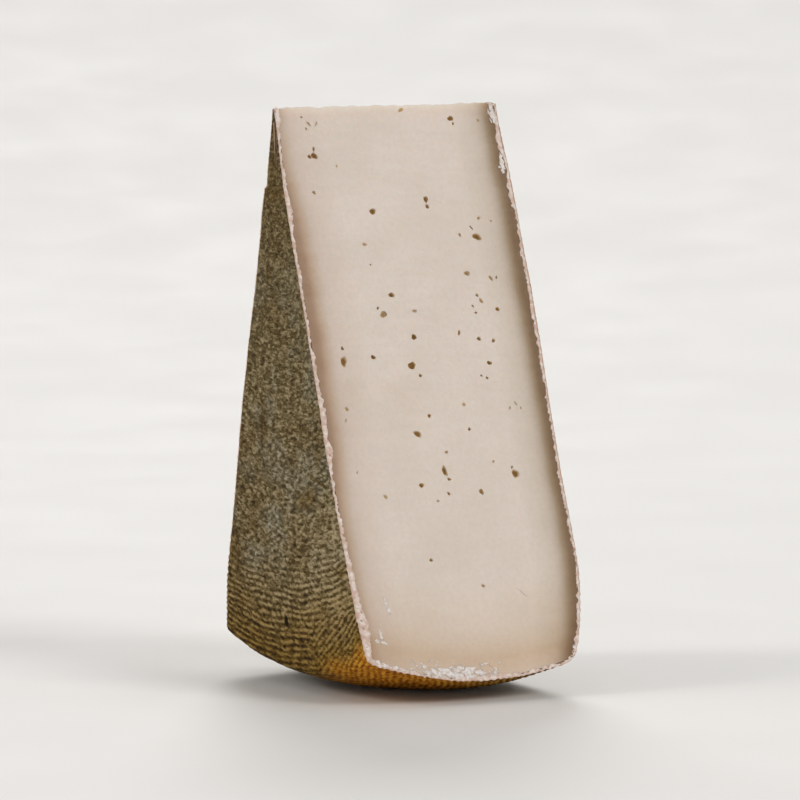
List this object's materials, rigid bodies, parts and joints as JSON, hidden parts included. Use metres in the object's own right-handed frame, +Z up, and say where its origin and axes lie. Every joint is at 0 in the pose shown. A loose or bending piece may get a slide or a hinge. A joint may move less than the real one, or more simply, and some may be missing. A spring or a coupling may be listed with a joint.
{
  "type": "raclette cheese wedge",
  "caption": "Wedge cut from a wheel of raclette cheese, standing on its rind: smooth cream paste with small eyes, brown cloth-marked rind.",
  "frame": {"origin": "on the ground, under the middle of the wedge's box", "axes": "+Z up towards the tip edge; X across the wheel, from the left flat face to the right one; the near cut looks towards -Y"},
  "size_m": [0.0682, 0.0834, 0.1499],
  "materials": {
    "paste": "satin cut cheese, cream, brownish towards the rind",
    "rind": "matt olive-brown rind with the weave of a cloth pressed in, golden at the foot",
    "cut_rind": "pale, rough, flaky line where the knife went through the rind"
  },
  "bodies": {
    "root": {"cheese_wedge": "paste"}
  },
  "joints": []
}
